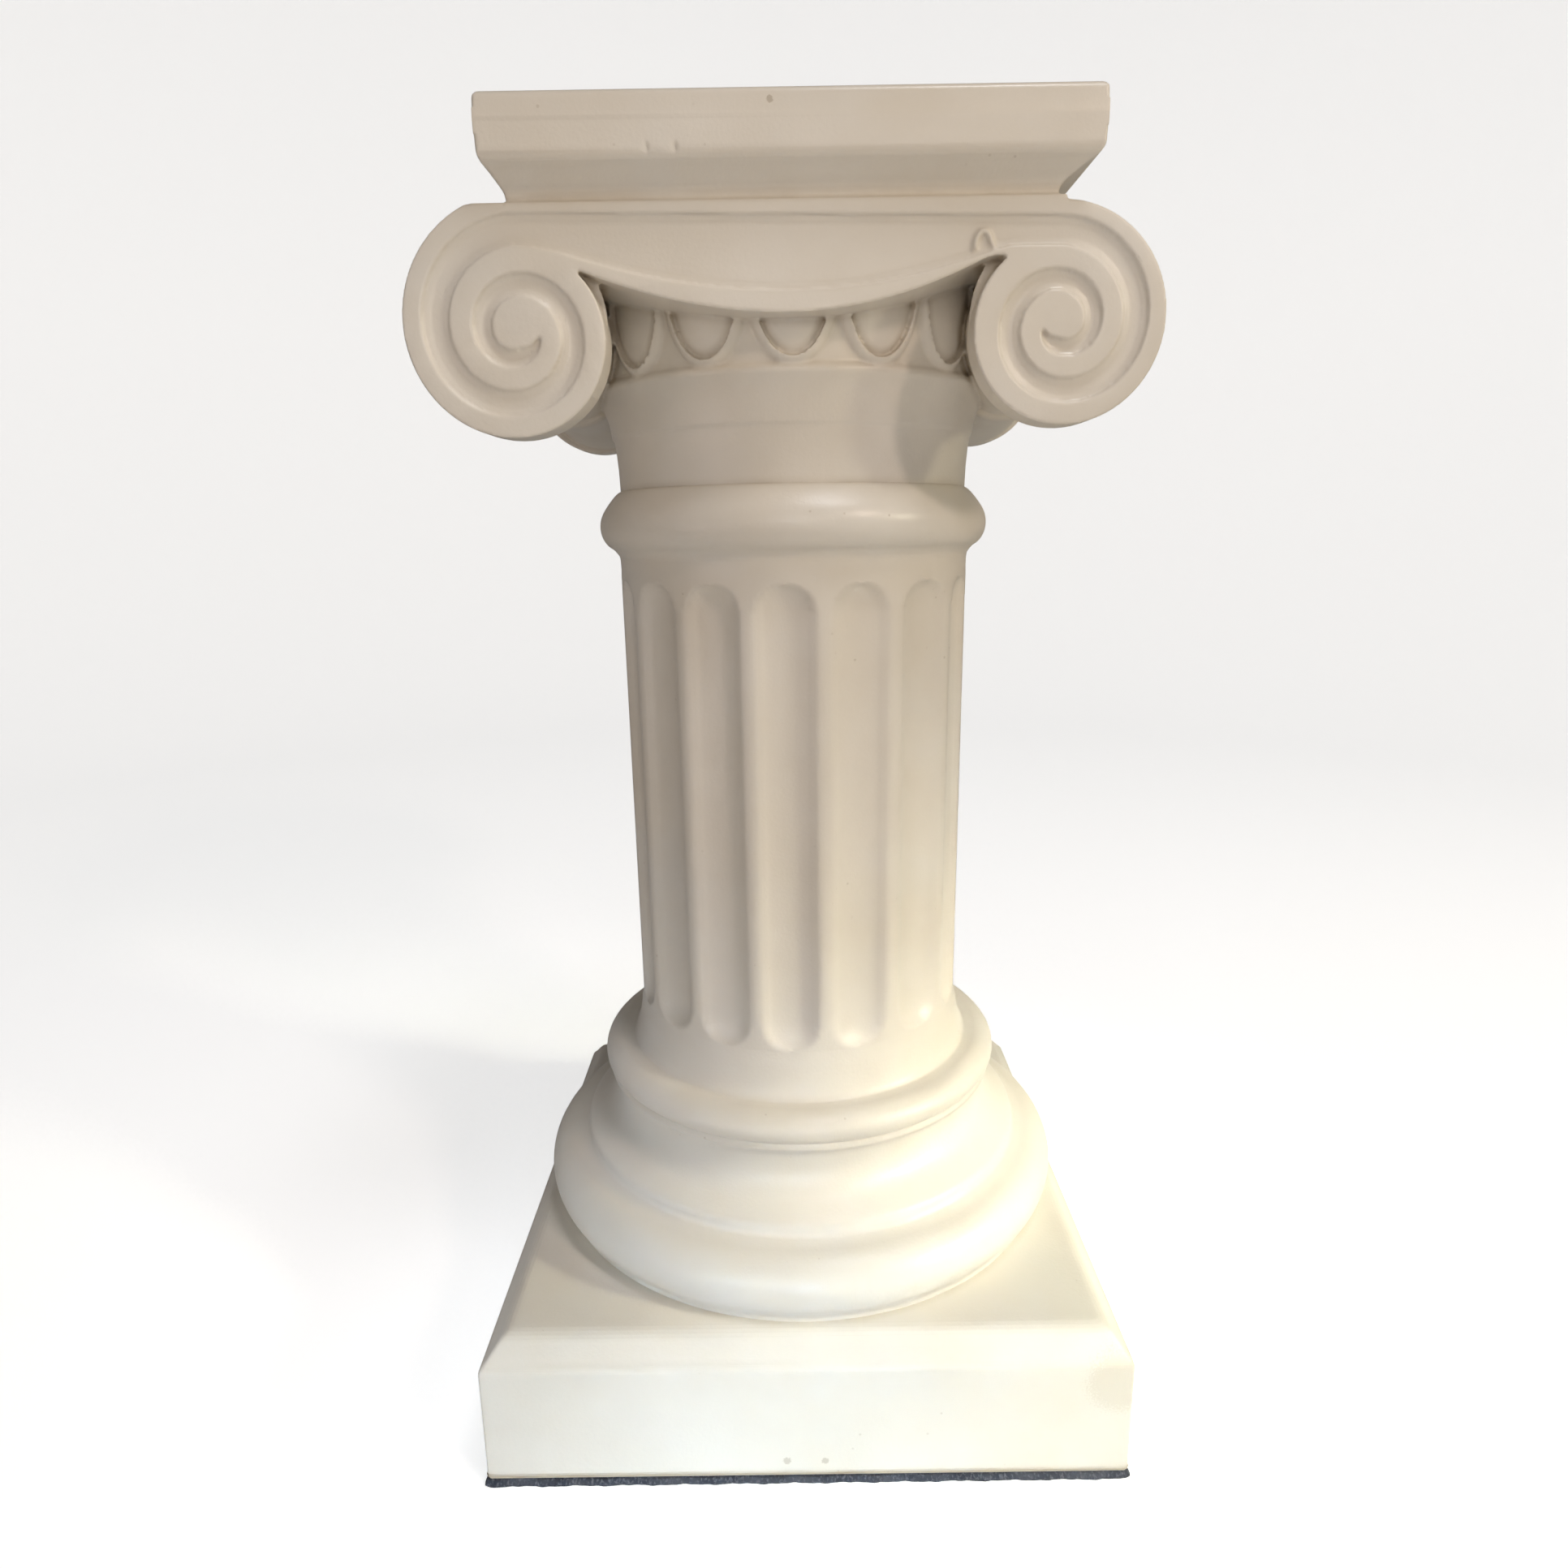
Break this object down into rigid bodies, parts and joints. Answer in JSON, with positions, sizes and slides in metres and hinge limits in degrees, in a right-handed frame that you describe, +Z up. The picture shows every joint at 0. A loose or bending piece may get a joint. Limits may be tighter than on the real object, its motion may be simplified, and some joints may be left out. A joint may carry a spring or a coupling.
{
  "type": "ionic column pedestal",
  "caption": "Free-standing display pedestal shaped as a short fluted Ionic column: square plinth, moulded round base, scrolled capital and flat square top.",
  "frame": {"origin": "centre of the underside of the felt pad, on the floor", "axes": "+Z up along the column, -Y towards the front scrolls, +X to the right seen from the front"},
  "size_m": [0.3626, 0.36, 0.711],
  "materials": {
    "painted_plaster": "cream semi-gloss paint over cast plaster",
    "felt": "dark blue-grey felt"
  },
  "bodies": {
    "root": {"pedestal_casting": "painted_plaster", "felt_pad": "felt"}
  },
  "joints": []
}
